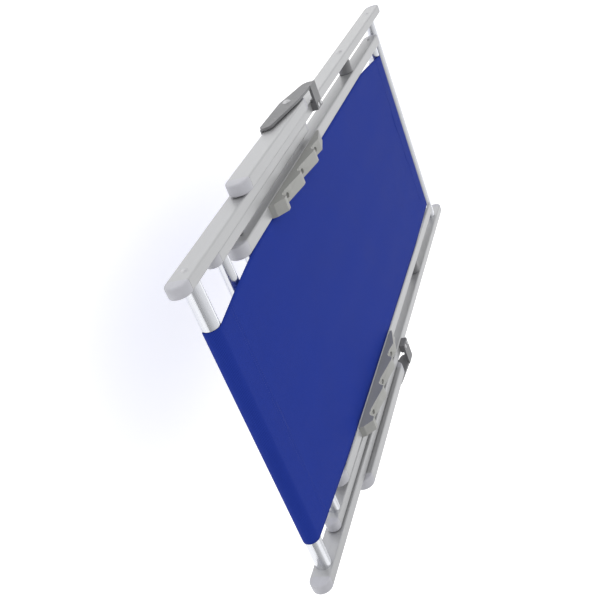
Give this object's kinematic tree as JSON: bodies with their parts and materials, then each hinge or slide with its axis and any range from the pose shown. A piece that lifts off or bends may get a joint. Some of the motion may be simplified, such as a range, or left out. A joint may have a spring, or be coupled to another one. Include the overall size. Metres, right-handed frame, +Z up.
{
  "type": "folding beach chair",
  "caption": "Folding aluminium sling beach chair, lying folded flat, with a prop frame that drops into notched racks and armrests that flip up.",
  "frame": {"origin": "middle of the folded chair, on the floor that it lies on", "axes": "+Z up through the sitting side, +Y towards the foot end, +X across to the right rail"},
  "size_m": [0.6148, 1.25, 0.056],
  "materials": {
    "rail_aluminium": "satin anodised",
    "bright_tube": "bright drawn",
    "grey_plastic": "fine moulded",
    "dark_plastic": "moulded",
    "fastener_steel": "plated",
    "sling_fabric": "woven mesh"
  },
  "bodies": {
    "seat_frame": {"seat_rail_left": "rail_aluminium", "seat_rail_right": "rail_aluminium", "seat_front_bar": "bright_tube", "seat_rear_bar": "bright_tube", "seat_rear_cap_left": "grey_plastic", "seat_rear_cap_right": "grey_plastic", "seat_front_cap_left": "grey_plastic", "seat_front_cap_right": "grey_plastic", "rack_left": "grey_plastic", "rack_right": "grey_plastic", "rack_screws": "fastener_steel", "seat_bar_rivets": "fastener_steel", "seat_bar_plugs": "dark_plastic", "sling_seat": "sling_fabric"},
    "back_frame": {"back_rail_left": "rail_aluminium", "back_rail_right": "rail_aluminium", "head_bar": "bright_tube", "foot_bar": "bright_tube", "head_cap_left": "grey_plastic", "head_cap_right": "grey_plastic", "foot_cap_left": "grey_plastic", "foot_cap_right": "grey_plastic", "pivot_spacer_left": "dark_plastic", "pivot_spacer_right": "dark_plastic", "pivot_bolt_left": "fastener_steel", "pivot_bolt_right": "fastener_steel", "pivot_nut_left": "fastener_steel", "pivot_nut_right": "fastener_steel", "arm_bracket_left": "dark_plastic", "arm_bracket_right": "dark_plastic", "arm_bolt_left": "fastener_steel", "arm_bolt_right": "fastener_steel", "arm_nut_left": "fastener_steel", "arm_nut_right": "fastener_steel", "arm_washers": "grey_plastic", "prop_washers": "grey_plastic", "bracket_rivets": "fastener_steel", "back_bar_rivets": "fastener_steel", "back_bar_plugs": "dark_plastic", "sling_back": "sling_fabric"},
    "prop_frame": {"prop_rail_left": "rail_aluminium", "prop_rail_right": "rail_aluminium", "prop_bar": "bright_tube", "prop_cap_left": "grey_plastic", "prop_cap_right": "grey_plastic", "prop_end_cap_left": "grey_plastic", "prop_end_cap_right": "grey_plastic", "prop_bar_rivets": "fastener_steel", "prop_bar_plugs": "dark_plastic"},
    "arm_left": {"arm_tube_left": "rail_aluminium", "arm_cap_left": "grey_plastic", "arm_end_cap_left": "grey_plastic"},
    "arm_right": {"arm_tube_right": "rail_aluminium", "arm_cap_right": "grey_plastic", "arm_end_cap_right": "grey_plastic"}
  },
  "joints": [
    {"name": "frame_fold", "type": "hinge", "parent": "seat_frame", "child": "back_frame", "pos_m": [0, 0.281, 0.017], "axis": [-1, 0, 0], "range_deg": [0, 71.86]},
    {"name": "prop_swing", "type": "hinge", "parent": "back_frame", "child": "prop_frame", "pos_m": [0, -0.073, 0.017], "axis": [1, 0, 0], "range_deg": [0, 118.44]},
    {"name": "arm_left_flip", "type": "hinge", "parent": "back_frame", "child": "arm_left", "pos_m": [-0.287, -0.073, 0.017], "axis": [-1, 0, 0], "range_deg": [0, 130]},
    {"name": "arm_right_flip", "type": "hinge", "parent": "back_frame", "child": "arm_right", "pos_m": [0.287, -0.073, 0.017], "axis": [-1, 0, 0], "range_deg": [0, 130]}
  ]
}
